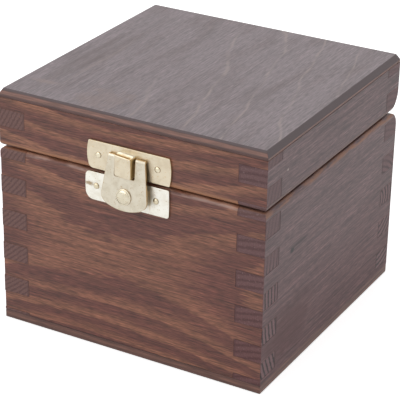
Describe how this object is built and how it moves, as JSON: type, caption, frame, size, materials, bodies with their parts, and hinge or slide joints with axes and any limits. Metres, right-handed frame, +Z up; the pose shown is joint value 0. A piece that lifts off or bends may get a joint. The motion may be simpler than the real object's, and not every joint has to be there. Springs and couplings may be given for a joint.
{
  "type": "wooden box with snap lock",
  "caption": "Small finger-jointed wooden box with a hinged plywood-topped lid and a forked brass snap lock on its front.",
  "frame": {"origin": "centre of the underside of the boards and panels, on the surface that the box stands on", "axes": "+X to the right seen from the lock, +Y from the lock to the hinges, +Z up"},
  "size_m": [0.1, 0.1042, 0.0856],
  "materials": {
    "front_walnut": "oiled, flat-sawn figure",
    "side_walnut": "oiled, straight grain",
    "panel_plywood": "sanded veneer, satin",
    "lock_brass": "pale satin plating",
    "hinge_brass": "satin plating",
    "steel": "bright drawn"
  },
  "bodies": {
    "base": {"base_front_board": "front_walnut", "base_back_board": "front_walnut", "base_left_board": "side_walnut", "base_right_board": "side_walnut", "bottom_panel": "panel_plywood", "hinge_left_base_leaf": "hinge_brass", "hinge_left_pin": "steel", "hinge_left_base_nail_1": "hinge_brass", "hinge_left_base_nail_2": "hinge_brass", "hinge_right_base_leaf": "hinge_brass", "hinge_right_pin": "steel", "hinge_right_base_nail_1": "hinge_brass", "hinge_right_base_nail_2": "hinge_brass", "latch_base_plate": "lock_brass", "base_plate_nail_left": "lock_brass", "base_plate_nail_right": "lock_brass", "latch_spring": "steel"},
    "lid": {"lid_front_board": "front_walnut", "lid_back_board": "front_walnut", "lid_left_board": "side_walnut", "lid_right_board": "side_walnut", "top_panel": "panel_plywood", "hinge_left_lid_leaf": "hinge_brass", "hinge_left_lid_nail_1": "hinge_brass", "hinge_left_lid_nail_2": "hinge_brass", "hinge_right_lid_leaf": "hinge_brass", "hinge_right_lid_nail_1": "hinge_brass", "hinge_right_lid_nail_2": "hinge_brass", "latch_keeper_plate": "lock_brass", "keeper_nail_left": "lock_brass", "keeper_nail_right": "lock_brass"},
    "lever": {"latch_lever": "lock_brass", "latch_rivet": "lock_brass"}
  },
  "joints": [
    {"name": "lid_hinge", "type": "hinge", "parent": "base", "child": "lid", "pos_m": [0, 0.04801, 0.0649], "axis": [-1, 0, 0], "range_deg": [0, 135]},
    {"name": "lever_press", "type": "hinge", "parent": "base", "child": "lever", "pos_m": [0, -0.05235, 0.0616], "axis": [1, 0, 0], "range_deg": [0, 15], "stiffness_Nm_per_rad": 0.06, "springref_deg": -11.46, "deforming": ["latch_spring"]}
  ]
}
